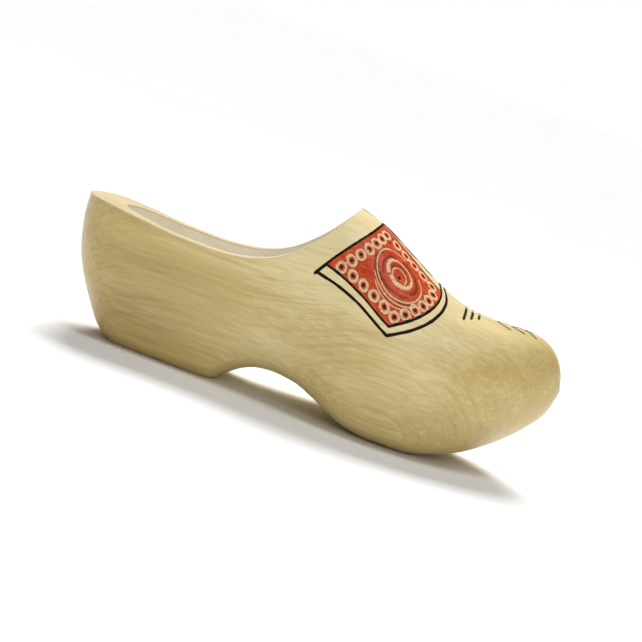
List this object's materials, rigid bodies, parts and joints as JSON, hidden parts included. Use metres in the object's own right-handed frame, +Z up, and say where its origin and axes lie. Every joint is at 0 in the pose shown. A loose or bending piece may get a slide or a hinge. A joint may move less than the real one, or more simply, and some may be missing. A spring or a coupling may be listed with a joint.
{
  "type": "painted wooden clog",
  "caption": "Carved wooden clog with a rounded toe, hollow for the foot, raised heel, and black-framed red panels painted over the instep.",
  "frame": {"origin": "on the ground, at the centre of the bounding box's bottom face", "axes": "+X from heel to toe, +Z up, +Y to the wearer's left; the heel block and the sole's tread stand on z = 0"},
  "size_m": [0.3, 0.1099, 0.1225],
  "materials": {
    "wood": "pale poplar or willow under a clear satin varnish; bare and duller inside",
    "black_paint": "black enamel brush line under the varnish",
    "red_paint": "vermilion enamel, rubbed thin in places",
    "maroon_paint": "dark brown-red brush marks"
  },
  "bodies": {
    "root": {"clog_body": "wood", "instep_line": "black_paint", "frame_line_outer": "black_paint", "frame_line_inner": "black_paint", "ridge_border_right": "black_paint", "ridge_border_left": "black_paint", "ridge_leaves": "black_paint", "toe_chevrons": "black_paint", "nose_strokes_right": "black_paint", "nose_strokes_left": "black_paint", "red_panel_right": "red_paint", "red_panel_left": "red_paint", "ring_dots_right": "black_paint", "ring_dots_left": "black_paint", "swirl_strokes_right": "maroon_paint", "swirl_strokes_left": "maroon_paint"}
  },
  "joints": []
}
